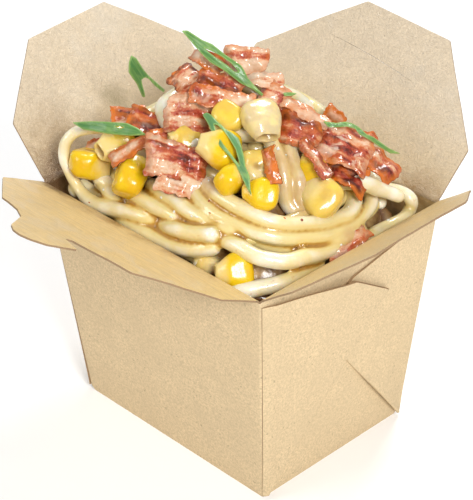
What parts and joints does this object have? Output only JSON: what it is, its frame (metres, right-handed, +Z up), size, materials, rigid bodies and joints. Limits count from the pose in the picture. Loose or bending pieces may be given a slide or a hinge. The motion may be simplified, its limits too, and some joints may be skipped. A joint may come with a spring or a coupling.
{
  "type": "noodle takeaway box",
  "caption": "Open folded kraft-board takeaway box with four hinged top flaps, heaped with thick noodles, sweetcorn kernels, bacon and slivers of green onion.",
  "frame": {"origin": "centre of the underside of the box, on the surface it stands on", "axes": "+Z up; the wide walls face -Y (flap with the tongue) and +Y (flap with the slit); the narrow walls with the folded corner webs face -X and +X"},
  "size_m": [0.1703, 0.1786, 0.1464],
  "materials": {
    "kraft_board": "matt brown board",
    "noodles": "moist, oiled",
    "sweetcorn": "glossy, moist",
    "bacon": "fried, greasy",
    "onion": "fresh, satin"
  },
  "bodies": {
    "box": {"tray": "kraft_board", "noodles": "noodles", "corn_01": "sweetcorn", "corn_02": "sweetcorn", "corn_03": "sweetcorn", "corn_04": "sweetcorn", "corn_05": "sweetcorn", "corn_06": "sweetcorn", "corn_07": "sweetcorn", "corn_08": "sweetcorn", "corn_09": "sweetcorn", "corn_10": "sweetcorn", "corn_11": "sweetcorn", "corn_12": "sweetcorn", "corn_13": "sweetcorn", "corn_14": "sweetcorn", "bacon_01": "bacon", "bacon_02": "bacon", "bacon_03": "bacon", "bacon_04": "bacon", "bacon_05": "bacon", "bacon_06": "bacon", "bacon_07": "bacon", "bacon_08": "bacon", "bacon_09": "bacon", "bacon_10": "bacon", "bacon_11": "bacon", "bacon_12": "bacon", "bacon_13": "bacon", "bacon_14": "bacon", "bacon_15": "bacon", "bacon_16": "bacon", "bacon_17": "bacon", "bacon_18": "bacon", "bacon_19": "bacon", "bacon_20": "bacon", "bacon_21": "bacon", "bacon_22": "bacon", "bacon_23": "bacon", "onion_01": "onion", "onion_02": "onion", "onion_03": "onion", "onion_04": "onion", "onion_05": "onion", "onion_06": "onion"},
    "flap_tongue": {"flap_tongue": "kraft_board"},
    "flap_slot": {"flap_slot": "kraft_board"},
    "flap_left": {"flap_left": "kraft_board"},
    "flap_right": {"flap_right": "kraft_board"}
  },
  "joints": [
    {"name": "tongue_flap_fold", "type": "hinge", "parent": "box", "child": "flap_tongue", "pos_m": [0, -0.0422, 0.088], "axis": [-1, 0, 0], "range_deg": [-82.8, 52.2]},
    {"name": "slot_flap_fold", "type": "hinge", "parent": "box", "child": "flap_slot", "pos_m": [0, 0.0422, 0.088], "axis": [1, 0, 0], "range_deg": [-98, 37]},
    {"name": "left_flap_fold", "type": "hinge", "parent": "box", "child": "flap_left", "pos_m": [-0.0522, 0, 0.088], "axis": [0, 1, 0], "range_deg": [-86.5, 33.5]},
    {"name": "right_flap_fold", "type": "hinge", "parent": "box", "child": "flap_right", "pos_m": [0.0522, 0, 0.088], "axis": [0, -1, 0], "range_deg": [-76, 44]}
  ]
}
